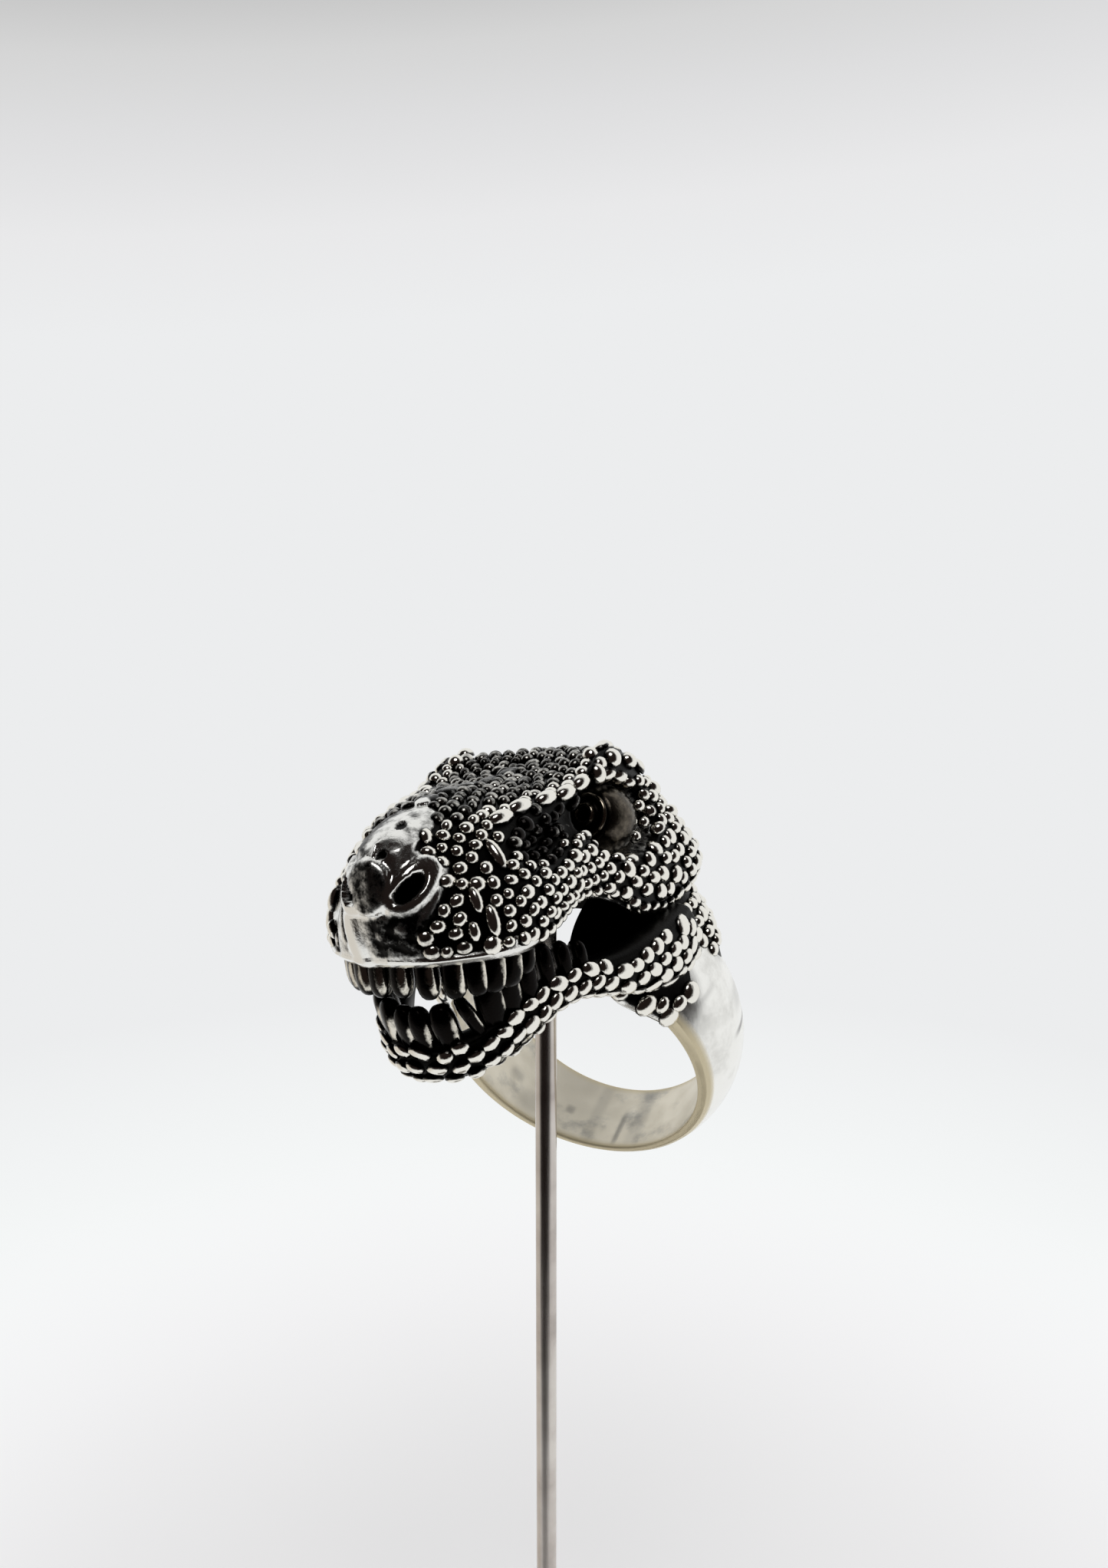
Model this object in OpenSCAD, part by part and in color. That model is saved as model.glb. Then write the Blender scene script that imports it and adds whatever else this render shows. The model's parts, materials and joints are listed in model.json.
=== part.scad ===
// Dinosaur ring: a cast silver ring shaped as a dinosaur's head with its mouth open,
// hung on the rod of a plain round stand. All sizes are millimetres.
//
// Stand frame: origin under the middle of the base, +Z up, the snout towards -Y, and the
// head's own left side towards +X.
// Ring frame: origin in the middle of the finger hole, the finger along Y.
// Head frame: the ring frame turned by the gape, so that the upper lip is level in it.

/* [Finger hole and band] */
// Diameter of the finger hole
finger_d = 20; // [19.5:0.1:20.5]
// Half length of the straight part of the hole, which widens past it under the shoulders
straight_half = 4.7; // [4.5:0.1:5]
// Thickness of the band's two edges, beside the finger
band_edge_t = 0.95; // [0.8:0.05:1.1]
// Thickness along the middle of the band, beside the finger
band_side_t = 2.45; // [2.2:0.05:2.6]
// Thickness along the middle of the band, at the back of the finger
band_back_t = 1.4; // [1.3:0.05:1.6]
// Width of the band beside the finger
band_w = 8.5; // [8:0.1:9]
// Angle between the two edges of the band, which spread towards the head
band_spread = 8.2; // [4:0.1:10]
// Half width of the slot that opens the finger hole into the mouth
slot_half = 2.7; // [2.5:0.1:3]

/* [Head] */
// Width of the whole casting over its shoulders and cheeks
head_w = 23.3; // [23:0.1:24]
// Length of the casting from the chin to the nape, along the finger
head_l = 30.8; // [30.5:0.1:31.3]
// Height of the casting from the sides of the band to the crown
head_h = 25.4; // [25.1:0.1:26]
// Angle that the mouth is open, from the lower jaw to the upper lip
gape = 20.6; // [20:0.1:21]
// Height of a scale above the gaps around it
scale_h = 0.45; // [0.3:0.05:0.6]
// Width of a tooth
tooth_w = 1.7; // [1.4:0.1:1.8]

/* [Stand] */
// Height of the middle of the finger hole above the table
ring_h = 68; // [60:1:80]
// Angle that the ring's jaw hangs down on the rod
ring_tilt = 20.6; // [20:0.1:21]
// Angle that the ring leans to one side on the rod
ring_lean = -7.9; // [-8.1:0.1:-7.7]
// Distance from the rod back to the middle of the finger hole
ring_back = 9.2; // [9.1:0.1:9.3]
// Diameter of the rod
rod_d = 1.6; // [1.2:0.1:1.8]
// Length of the rod, from the base up to the roof of the mouth
rod_l = 76; // [60:1:77]
// Diameter of the base
base_d = 38; // [36:1:60]
// Thickness of the base
base_t = 6; // [4:0.5:8]
// Width of the sloping edge round the top of the base
base_chamfer = 0.8; // [0.4:0.1:1.5]

/* [Hidden] */
$fn = 64;
finger_r = finger_d / 2;
// Clear space between the loose pieces
gap = 0.1;

// The upper head goes round the muzzle in rows, from the tip of the nose back to the nape.
// Each row is a slice from the lip up the flank to the brow and in to the spine.
// Columns: lip x, y, z, flank x, y, z, brow x, y, z, spine y, z (head frame)
head_rows = [
    [0.0, -26.1, 13.0, 0.0, -26.9, 16.5, 0.0, -26.5, 20.0, -25.6, 20.9],
    [2.4, -25.8, 13.0, 2.3, -26.5, 16.4, 1.4, -25.7, 20.4, -24.2, 21.4],
    [4.4, -25.0, 13.0, 4.1, -25.1, 16.3, 2.3, -23.9, 20.7, -22.4, 21.8],
    [6.0, -23.5, 12.9, 5.8, -23.4, 16.3, 3.1, -22.1, 20.9, -20.8, 22.1],
    [7.0, -21.5, 12.75, 7.0, -21.4, 16.4, 3.8, -20.4, 21.0, -19.1, 22.3],
    [7.4, -19.0, 12.95, 7.6, -18.9, 16.6, 4.4, -18.3, 21.0, -17.2, 22.4],
    [7.2, -16.6, 13.3, 7.8, -16.2, 16.8, 5.1, -16.1, 21.1, -15.0, 22.3],
    [7.1, -14.3, 13.9, 8.0, -13.5, 16.9, 5.7, -13.4, 21.2, -12.4, 22.1],
    [7.6, -12.0, 13.7, 8.3, -11.0, 16.5, 6.1, -10.7, 21.5, -9.8, 22.1],
    [8.3, -9.6, 12.6, 8.8, -8.3, 16.0, 6.4, -7.9, 22.3, -7.0, 22.3],
    [8.7, -7.0, 11.1, 9.2, -5.8, 15.5, 6.5, -5.2, 23.1, -4.3, 22.8],
    [8.9, -4.0, 10.5, 9.5, -3.2, 15.0, 6.9, -2.8, 22.1, -1.8, 22.9],
    [9.1, -1.2, 10.8, 9.7, -0.8, 14.6, 7.5, -0.9, 19.9, -0.2, 22.1],
    [9.2, 1.7, 11.3, 9.7, 1.5, 14.2, 7.9, 1.0, 17.8, 0.9, 21.0],
    [8.6, 3.8, 11.7, 9.0, 3.8, 13.8, 7.6, 2.8, 16.4, 1.8, 19.6],
    [6.8, 4.8, 12.2, 7.0, 5.0, 13.8, 6.0, 3.9, 15.8, 2.5, 18.2],
    [3.9, 4.6, 12.8, 4.0, 4.9, 14.0, 3.4, 4.0, 15.6, 2.9, 17.0],
    [0.0, 4.0, 13.0, 0.0, 4.3, 14.2, 0.0, 3.6, 15.5, 3.1, 16.2],
];

// The lower jaw is a bar bent to a U, from the middle of the chin back to the shoulder.
// Columns: x, y, bottom, top, thickness (ring frame)
jaw_rows = [
    [0.0, -19.5, 12.4, 15.2, 2.2],
    [1.6, -19.2, 12.4, 15.2, 2.2],
    [2.8, -18.4, 12.4, 15.2, 2.2],
    [3.7, -17.4, 12.4, 15.3, 2.1],
    [4.4, -16.2, 12.5, 15.3, 2.0],
    [5.1, -14.8, 12.7, 15.3, 2.0],
    [5.9, -13.0, 13.0, 15.2, 2.0],
    [6.8, -11.2, 12.6, 14.9, 2.1],
    [7.6, -9.3, 11.4, 14.2, 2.3],
    [8.4, -7.1, 9.8, 13.3, 2.6],
    [9.0, -4.6, 8.2, 12.6, 3.0],
    [9.4, -1.8, 7.2, 11.9, 3.2],
    [9.4, 1.2, 6.6, 11.3, 3.2],
];

// The shoulders thicken the band from its sides up to the nape, one strap over the finger hole.
// Columns: angle above the finger's own level, outer radius, front y, back y (ring frame)
shoulder_rows = [
    [21, 12.5, -4.2, 4.4],
    [28, 12.8, -4.8, 5.6],
    [36, 13.2, -5.6, 6.6],
    [44, 13.8, -6.4, 7.2],
    [50, 14.1, -6.6, 7.6],
    [56, 13.3, -6.0, 7.8],
    [66, 12.8, -5.0, 8.0],
    [78, 12.5, -4.6, 8.2],
    [90, 12.4, -4.6, 8.2],
];

// The hollows in each flank: the eye socket, the one before it, and the groove that joins them.
// Columns: middle x, y, z, half size x, y, z, tilt down to the back (head frame)
hollow_rows = [
    [9.0, -7.6, 18.7, 4.4, 5.0, 3.3, 10],
    [8.2, -17.0, 19.1, 2.7, 4.4, 1.9, -6],
    [8.2, -12.6, 19.5, 2.5, 3.4, 1.6, -4],
];

// The eyeball at the bottom of its socket: middle and radius (head frame)
eye = [5.6, -5.9, 18];
eye_r = 2.65;

// The nostril, a slanting slit: middle, size and turn (head frame)
nostril = [2.6, -26.5, 18.3];
nostril_size = [1.1, 2.4, 2.8];
nostril_turn = [0, 45, 20];

// The smooth scales down the middle of the muzzle: place y, z and length (head frame)
ridge_scales = [[-23.2, 21.5, 1.5], [-20.9, 22.0, 1.9], [-18.3, 22.2, 1.9], [-15.6, 22.4, 1.7]];

// The inside of the mouth is the head's own form, smaller and lower
mouth_size = [0.8, 0.86, 0.5];
mouth_y = -12;
mouth_z = 11;

// Where the teeth stand, counted in rows of the two tables above
upper_tooth_rows = [0.4:0.8:4.4];
lower_tooth_rows = [0.82, 2.2, 3.25, 4.4, 5.3, 6.2, 7.1];

// How finely the forms are divided: every second point is the top of a scale
row_step = 1 / 3;
flank_steps = 10;
crown_steps = 8;
jaw_step = 0.5;
jaw_sides = 12;
shoulder_step = 0.4;
shoulder_steps = 12;

// The slot over the finger hole, round at its back end
slot_front = -8;
slot_back = 2.2;
slot_top = 2.6;

// How much wider the finger hole gets for each millimetre past its straight part
flare = 0.3;

// A smooth curve through rows of numbers
function clamp_row(rows, i) = rows[max(0, min(len(rows) - 1, i))];
function curve(a, b, c, d, t) =
    b + (c - a) * t / 2 + (2 * a - 5 * b + 4 * c - d) * t * t / 2 + (3 * b - a - 3 * c + d) * t * t * t / 2;
function row_at(rows, u) =
    let (i = max(0, min(floor(u), len(rows) - 2)))
    curve(clamp_row(rows, i - 1), clamp_row(rows, i), clamp_row(rows, i + 1), clamp_row(rows, i + 2), u - i);
function unit(v) = v / norm(v);

// A point of the upper head: u is the row, v is 0 at the lip, 1 at the brow and 2 at the spine
function flank_point(r, v) =
    [for (k = [0:2]) r[k] * (1 - v) * (1 - 2 * v) + r[k + 3] * 4 * v * (1 - v) + r[k + 6] * v * (2 * v - 1)];
function crown_point(r, w) =
    [r[6] * (1 - w), r[7] + (r[9] - r[7]) * w, r[8] + (r[10] - r[8]) * w * (2 - w)];
function head_point(u, v) =
    let (r = row_at(head_rows, u)) v <= 1 ? flank_point(r, v) : crown_point(r, v - 1);
function head_out(u, v) =
    unit(cross(head_point(u + 0.2, v) - head_point(u - 0.2, v), head_point(u, v + 0.04) - head_point(u, v - 0.04)));

// Scales cover the head behind the smooth muzzle, apart from the lip's plain rim and the spine
function has_scales(u, v) = u > (v < 0.9 ? 3.1 : 4.1) && u < 16.5 && v > 0.06 && v < 1.95;
function relief(i, k, here) = !here ? 0 : (i + k) % 2 == 0 ? scale_h * 0.6 : -scale_h * 0.4;

// A skin over rows of points, each row a closed ring. The diagonals run between the low
// points, so that each high point is the top of a small pyramid.
function skin(n, rows) = [for (v = [0:rows - 2], i = [0:n - 1])
    let (a = v * n + i, b = v * n + (i + 1) % n, c = b + n, d = a + n)
        each ((i + v) % 2 == 0 ? [[a, d, b], [b, d, c]] : [[a, c, b], [a, d, c]])];

// A closed form from rings of points, stacked from the bottom up. Each ring goes from the
// middle of the front round one side to the middle of the back, and round the other side.
module stacked(rings) {
    n = len(rings[0]);
    half = n / 2;
    top = (len(rings) - 1) * n;
    polyhedron(
        points = [for (ring = rings) each ring],
        faces = concat(
            skin(n, len(rings)),
            [for (i = [0:half - 1]) [i, i + 1, (n - i - 1) % n, (n - i) % n]],
            [for (i = [0:half - 1]) [top + (n - i) % n, top + (n - i - 1) % n, top + i + 1, top + i]]),
        convexity = 8);
}

// A bar swept through closed sections, flat at both ends
module swept(sections) {
    n = len(sections[0]);
    last = (len(sections) - 1) * n;
    polyhedron(
        points = [for (s = sections) each s],
        faces = concat([for (f = skin(n, len(sections))) [f[0], f[2], f[1]]],
            [[for (i = [n - 1:-1:0]) i]], [[for (i = [0:n - 1]) last + i]]),
        convexity = 8);
}

module in_head_frame() rotate([-gape, 0, 0]) children();

module both_sides() {
    children();
    mirror([1, 0, 0]) children();
}

module on_rod() translate([0, ring_back, ring_h]) rotate([ring_tilt, 0, 0]) rotate([0, ring_lean, 0]) children();

// An egg shape of a given size
module egg(at, size, turn = [0, 0, 0], sides = 6) translate(at) rotate(turn) scale(size / 2) sphere(r = 1, $fn = sides);

// The upper head as one closed form, with or without its scales
module head_form(step, vs, scaled) {
    us = [for (u = [0:step:len(head_rows) - 1]) u];
    n = len(us);
    stacked([for (k = [0:len(vs) - 1]) let (v = vs[k])
        let (side = [for (i = [0:n - 1]) let (p = head_point(us[i], v), d = relief(i, k, scaled && has_scales(us[i], v)))
            d == 0 ? p : p + head_out(us[i], v) * d])
        concat(side, [for (i = [n - 2:-1:1]) [-side[i][0], side[i][1], side[i][2]]])]);
}

module mouth() {
    translate([0, mouth_y, mouth_z]) scale(mouth_size) translate([0, -mouth_y, -head_rows[0][2]])
        head_form(1, [0, 0.35, 0.7, 1, 1.5, 1.98], false);
}

module upper_head() {
    difference() {
        head_form(row_step, concat([for (k = [0:flank_steps]) k / flank_steps],
            [for (k = [1:crown_steps]) 1 + k / crown_steps * 0.98]), true);
        mouth();
        both_sides() {
            for (h = hollow_rows) translate([h[0], h[1], h[2]]) rotate([-h[6], 0, 0])
                scale([h[3], h[4], h[5]]) sphere(r = 1, $fn = 12);
            egg(nostril, nostril_size, nostril_turn, 8);
        }
    }
    both_sides() translate(eye) sphere(r = eye_r, $fn = 12);
    for (r = ridge_scales) egg([0, r[0], r[1]], [1.5, r[2], 1]);
}

// The teeth stand round the lip and round the jaw, each turned to face outwards
function turn_at(rows, u) = let (d = row_at(rows, u + 0.2) - row_at(rows, u)) atan2(d[1], d[0]);

module upper_teeth() {
    both_sides() for (u = upper_tooth_rows)
        let (p = row_at(head_rows, u), turn = turn_at(head_rows, u))
            egg([p[0] - sin(turn) * 0.8, p[1] + cos(turn) * 0.8, p[2] - 0.6], [tooth_w, 1.4, 3], [0, 0, turn]);
}

module lower_teeth() {
    both_sides() for (u = lower_tooth_rows)
        let (p = row_at(jaw_rows, u))
            egg([p[0], p[1], p[3] + 0.9], [tooth_w, 1.4, 3.8], [0, 0, turn_at(jaw_rows, u)]);
}

// The lower jaw, with scales on its outer side
function jaw_at(u) = let (r = row_at(jaw_rows, abs(u))) [u < 0 ? -r[0] : r[0], r[1], r[2], r[3], r[4]];
function jaw_out(u) = let (a = jaw_at(u - 0.2), b = jaw_at(u + 0.2)) unit([b[1] - a[1], a[0] - b[0]]);
module lower_jaw() {
    last = len(jaw_rows) - 1;
    us = [for (u = [-last:jaw_step:last]) u];
    swept([for (j = [0:len(us) - 1]) let (r = jaw_at(us[j]), out = jaw_out(us[j]))
        [for (k = [0:jaw_sides - 1])
            let (q = 360 * k / jaw_sides, d = relief(j, k, k < 2 || k > jaw_sides - 4),
                s = (r[4] / 2 + d) * cos(q), z = ((r[3] - r[2]) * 0.53 + d) * sin(q))
            [r[0] + out[0] * s, r[1] + out[1] * s, (r[2] + r[3]) / 2 + z]]]);
}

// The shoulders, rounded over at the front and back
module shoulders() {
    n = len(shoulder_rows);
    rows = concat(shoulder_rows, [for (i = [n - 2:-1:0]) let (r = shoulder_rows[i]) [180 - r[0], r[1], r[2], r[3]]]);
    us = [for (u = [0:shoulder_step:2 * n - 2]) u];
    m = shoulder_steps;
    swept([for (j = [0:len(us) - 1]) let (r = row_at(rows, us[j]))
        [for (k = [0:m + 2])
            let (t = 2 * k / m - 1, d = relief(j, k, k > 0 && k < m && us[j] > 0.5 && us[j] < 2 * n - 2.5),
                y = k > m + 1 ? r[3] : k > m ? r[2] : r[3] + (r[2] - r[3]) * k / m,
                s = k > m ? finger_r - 0.4 : r[1] - 1.4 * pow(t, 4) + d)
            [s * cos(r[0]), y, s * sin(r[0])]]]);
}

// The band: a domed hoop, wider and thicker towards the head. The circle of its outside has
// its middle above the middle of the finger hole.
module band() {
    back_r = finger_r + band_back_t;
    side_r = finger_r + band_side_t;
    top_r = side_r * side_r / back_r;
    hoop_r = (top_r + back_r) / 2;
    hoop_z = (top_r - back_r) / 2;
    edge_r = sqrt(pow(finger_r + band_edge_t, 2) + hoop_z * hoop_z);
    sag = hoop_r - edge_r;
    dome_r = (sag * sag + band_w * band_w / 4) / (2 * sag);
    intersection() {
        translate([0, 0, hoop_z]) rotate([90, 0, 0]) rotate_extrude($fn = 128) intersection() {
            translate([0, -dome_r]) square([hoop_r + 1, 2 * dome_r]);
            translate([hoop_r - dome_r, 0]) circle(r = dome_r, $fn = 128);
        }
        rotate([90, 0, 90]) linear_extrude(height = 3 * finger_r, center = true) polygon([
            for (p = [[-1, -1], [1, -1], [1, 1], [-1, 1]])
                [p[0] * (band_w / 2 + p[1] * 1.5 * finger_r * tan(band_spread / 2)), p[1] * 1.5 * finger_r]]);
    }
}

// The casting above the band, in one form: shoulders, both jaws, teeth and scales
module head_cast() {
    shoulders();
    lower_jaw();
    lower_teeth();
    in_head_frame() {
        upper_head();
        upper_teeth();
    }
}

module slot() {
    translate([0, slot_back - slot_half, 0]) cylinder(r = slot_half, h = finger_r + slot_top);
    translate([-slot_half, slot_front, 0]) cube([2 * slot_half, slot_back - slot_half - slot_front, finger_r + slot_top]);
}

// The finger hole, a true cylinder that widens towards both ends so that no edge pinches
module finger_hole() {
    rotate([90, 0, 0]) {
        cylinder(r = finger_r, h = 60, center = true, $fn = 128);
        for (end = [0, 180]) rotate([end, 0, 0]) translate([0, 0, straight_half])
            cylinder(r1 = finger_r, r2 = finger_r + 8 * flare, h = 8, $fn = 128);
    }
}

module ring() {
    color("silver") on_rod() difference() {
        union() {
            band();
            resize([head_w, head_l, head_h]) head_cast();
        }
        finger_hole();
        slot();
    }
}

module stand_rod() {
    color("lightsteelblue") translate([0, 0, base_t + gap]) cylinder(d = rod_d, h = rod_l);
}

module stand_base() {
    color("gainsboro") rotate_extrude($fn = 128) polygon([
        [0, 0], [base_d / 2, 0], [base_d / 2, base_t - base_chamfer], [base_d / 2 - base_chamfer, base_t], [0, base_t]]);
}

ring();
stand_rod();
stand_base();
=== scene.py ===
"""The looks of a cast silver dinosaur ring that hangs on the rod of a plain round stand.

Metres, in the stand's frame: the origin is under the middle of the base, +Z is up, the snout
points to -Y, and the head's own left side is at +X. The ring's own sizes are millimetres in
one of two turned frames. The ring frame has its origin in the middle of the finger hole, with
the finger along Y. The head frame is the ring frame turned by the gape, so that the upper lip
is level in it.
"""
import itertools
import json
import math
import random

import bpy
import numpy as np
from mathutils import Matrix, Vector
from mathutils.bvhtree import BVHTree
from mathutils.kdtree import KDTree


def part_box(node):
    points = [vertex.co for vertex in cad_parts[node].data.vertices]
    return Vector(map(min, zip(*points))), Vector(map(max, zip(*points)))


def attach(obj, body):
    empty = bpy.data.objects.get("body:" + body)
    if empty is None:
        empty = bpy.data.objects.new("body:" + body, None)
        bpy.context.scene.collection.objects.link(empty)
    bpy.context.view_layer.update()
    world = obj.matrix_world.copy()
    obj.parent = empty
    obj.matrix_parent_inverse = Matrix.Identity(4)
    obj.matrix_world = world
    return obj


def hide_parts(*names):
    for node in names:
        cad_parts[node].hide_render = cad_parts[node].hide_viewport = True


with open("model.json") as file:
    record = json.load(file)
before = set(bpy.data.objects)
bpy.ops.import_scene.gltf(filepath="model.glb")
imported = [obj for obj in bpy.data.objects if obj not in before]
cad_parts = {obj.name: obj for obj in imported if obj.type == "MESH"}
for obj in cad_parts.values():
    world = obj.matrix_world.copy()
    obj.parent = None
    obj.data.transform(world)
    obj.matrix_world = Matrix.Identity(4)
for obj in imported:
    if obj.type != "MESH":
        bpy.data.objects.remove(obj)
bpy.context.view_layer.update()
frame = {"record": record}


# The camera: a phone held close, a little above the ring and to the head's left, and tipped
# down. The long side of the picture is upright.
CAMERA_AT = (0.03718, -0.08285, 0.1079)
TIPPED_DOWN = 11.427
TURNED_LEFT = 23.791
bpy.ops.object.select_all(action="DESELECT")
bpy.ops.object.camera_add(
    location=CAMERA_AT, rotation=(math.radians(90 - TIPPED_DOWN), 0, math.radians(TURNED_LEFT)))
camera = bpy.context.object
camera.data.lens = 29.941
camera.data.sensor_width = 36
camera.data.clip_start = 0.001
camera.data.clip_end = 100
bpy.context.scene.camera = camera


# The studio: a wide sheet of pale paper under the stand and a white surround, with a dark
# place behind the camera. The silver shows the surround, and no wall is seen.
def linear(code):
    """An sRGB hex colour as the linear colour that a shader takes"""
    parts = [int(code[i:i + 2], 16) / 255 for i in (1, 3, 5)]
    return [c / 12.92 if c < 0.04045 else ((c + 0.055) / 1.055) ** 2.4 for c in parts] + [1]


def set_inputs(tree, made, links):
    """Gives a node's inputs their values, or the outputs of other nodes"""
    for name, source in links.items():
        if isinstance(source, bpy.types.NodeSocket):
            tree.links.new(source, made.inputs[name])
        else:
            made.inputs[name].default_value = source


def add_node(tree, kind, links=None, **settings):
    """Adds a shader node with its settings and its inputs"""
    made = tree.nodes.new("ShaderNode" + kind)
    for name, value in settings.items():
        setattr(made, name, value)
    set_inputs(tree, made, links or {})
    return made


def reckon(tree, operation, *values):
    """One sum, done by a node"""
    return add_node(tree, "Math", dict(enumerate(values)), operation=operation).outputs[0]


def dot(tree, direction, way):
    """How far a direction points along a way"""
    return add_node(tree, "VectorMath", {0: direction, 1: way}, operation="DOT_PRODUCT").outputs["Value"]


def remap(tree, value, low=0, high=1, to_low=0, to_high=1, curve="LINEAR"):
    """A value's range from low to high, stretched over another range"""
    return add_node(tree, "MapRange", {
        "Value": value, "From Min": low, "From Max": high, "To Min": to_low, "To Max": to_high},
        interpolation_type=curve).outputs["Result"]


def mix_colours(tree, share, first, second):
    """Two colours mixed, each an sRGB hex colour or another node's output"""
    first, second = (linear(c) if isinstance(c, str) else c for c in (first, second))
    links = {"Factor": share, "A": first, "B": second}
    return add_node(tree, "Mix", links, data_type="RGBA").outputs["Result"]


def colour_ramp(tree, value, stops):
    """Colours along a value: each stop is a place and an sRGB hex colour"""
    made = add_node(tree, "ValToRGB", {"Fac": value})
    ramp = made.color_ramp
    while len(ramp.elements) < len(stops):
        ramp.elements.new(0.5)
    for element, (place, code) in zip(ramp.elements, stops):
        element.position = place
        element.color = linear(code)
    return made.outputs["Color"]


HORIZON_GREY = "#ECEDEE"
PAPER_WHITE = "#FCFBFC"
DARK_ROOM_WAY = Vector((0.1, -0.93, 0.34))
OVERHEAD_WAY = Vector((0.17, -0.39, 0.906))
SIDE_SHEET_WAY = Vector((-0.88, -0.2, -0.43))
RIGHTWARD = Vector((0.915, 0.403, 0.0))

bpy.ops.mesh.primitive_circle_add(vertices=128, radius=30, fill_type="NGON")
paper = bpy.context.object
paper.name = "paper_floor"
paper_look = bpy.data.materials.new("matt_paper")
paper_look.use_nodes = True
tree = paper_look.node_tree
tree.nodes.clear()
place = add_node(tree, "TexCoord").outputs["Object"]
away = add_node(tree, "VectorMath", {0: place}, operation="LENGTH").outputs["Value"]
tint = colour_ramp(tree, remap(tree, away, 0.04, 0.24), [
    (0, PAPER_WHITE), (0.2, "#FAFAFB"), (0.42, "#F4F6F6"), (0.8, HORIZON_GREY)])
glow = add_node(tree, "Emission", {"Color": tint, "Strength": 1.0})
matt = add_node(tree, "BsdfDiffuse", {"Color": linear("#F8F8F8")})
farther = remap(tree, away, 0.02, 0.12, 0.5, 1.0, "SMOOTHSTEP")
both = add_node(tree, "MixShader", {"Fac": farther, 1: matt.outputs[0], 2: glow.outputs[0]})
add_node(tree, "OutputMaterial", {"Surface": both.outputs[0]})
paper.data.materials.append(paper_look)
paper.visible_glossy = False

world = bpy.data.worlds.new("studio")
bpy.context.scene.world = world
world.use_nodes = True
tree = world.node_tree
tree.nodes.clear()
direction = add_node(tree, "TexCoord").outputs["Generated"]
slanted = dot(tree, direction, Vector((0, 0, 1)) - 0.085 * RIGHTWARD)
wall = colour_ramp(tree, remap(tree, slanted, 0.15, 0.36), [
    (0, HORIZON_GREY), (0.3, "#E9E9EA"), (0.6, "#DEDEDF"), (0.8, "#D5D5D5"), (1, "#C2C2C2")])
seen = add_node(tree, "Background", {"Color": wall, "Strength": 1.0})

# What the silver shows: bright paper behind and below, a dark brown room towards the camera, a
# ceiling light above it and a dimmer sheet at the left. Columns: the way to it, where its edge
# starts and ends, how much narrower it is below, and its colour.
room_colour = "#F2F3F3"
below = reckon(tree, "MINIMUM", dot(tree, direction, (0, 0, 1)), 0.0)
for way, low, high, narrower_below, code in [
        (DARK_ROOM_WAY, -0.1, 0.25, 0.65, "#1F1917"),
        (SIDE_SHEET_WAY, 0.72, 0.98, 0.0, "#DDD8D0"),
        (OVERHEAD_WAY, 0.955, 0.985, 0.0, "#FFFFFF")]:
    facing = reckon(tree, "MULTIPLY_ADD", below, narrower_below, dot(tree, direction, way.normalized()))
    share = remap(tree, facing, low, high, curve="SMOOTHSTEP")
    room_colour = mix_colours(tree, share, room_colour, code)
lamp_on = reckon(tree, "MULTIPLY_ADD", share, 2.2, 1.0)
reflected = add_node(tree, "Background", {"Color": room_colour, "Strength": lamp_on})
camera_ray = add_node(tree, "LightPath").outputs["Is Camera Ray"]
mixed = add_node(tree, "MixShader", {"Fac": camera_ray, 1: reflected.outputs[0], 2: seen.outputs[0]})
add_node(tree, "OutputWorld", {"Surface": mixed.outputs[0]})

# Columns: name, place, size in metres, watts. Each one faces the head.
HEAD_MIDDLE = Vector((0, -0.002, 0.076))
for name, at, size, watts in [
        ("window", (0.10, -0.02, 0.24), 0.035, 0.03),
        ("ceiling_panel", (-0.06, 0.05, 0.30), 0.08, 0.06),
        ("low_fill", (0.16, 0.10, 0.05), 0.06, 0.02)]:
    bpy.ops.object.light_add(type="AREA", location=at)
    lamp = bpy.context.object
    lamp.name = name
    lamp.data.size = size
    lamp.data.energy = watts
    lamp.rotation_euler = (Vector(at) - HEAD_MIDDLE).to_track_quat("Z", "Y").to_euler()
    lamp.visible_camera = False
    lamp.visible_glossy = False
bpy.context.scene.view_settings.view_transform = "Standard"


# The band: the plain back of the ring, one cast hoop of sterling silver, filed, sanded and
# polished by hand. It is domed outside, thin at its two rims, and grows towards the head.
finger = next(m for m in frame["record"]["mounts"] if m["name"] == "finger")
FINGER_R = finger["dims"]["r_mm"]
RING_TILT = 20.6
RING_LEAN = -7.9
GAPE = 20.6
BAND_EDGE_T = 0.95
BAND_SIDE_T = 2.45
BAND_BACK_T = 1.4
BAND_W = 8.5
BAND_SPREAD = 8.2
BAND_MIDDLE_R = 11.5
BAND_ENDS = (-222, 42)
RIM_ROUND = 0.16
ring_frame = (Matrix.Translation(finger["pos_m"]) @ Matrix.Rotation(math.radians(RING_TILT), 4, "X")
              @ Matrix.Rotation(math.radians(RING_LEAN), 4, "Y") @ Matrix.Scale(0.001, 4))


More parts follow.
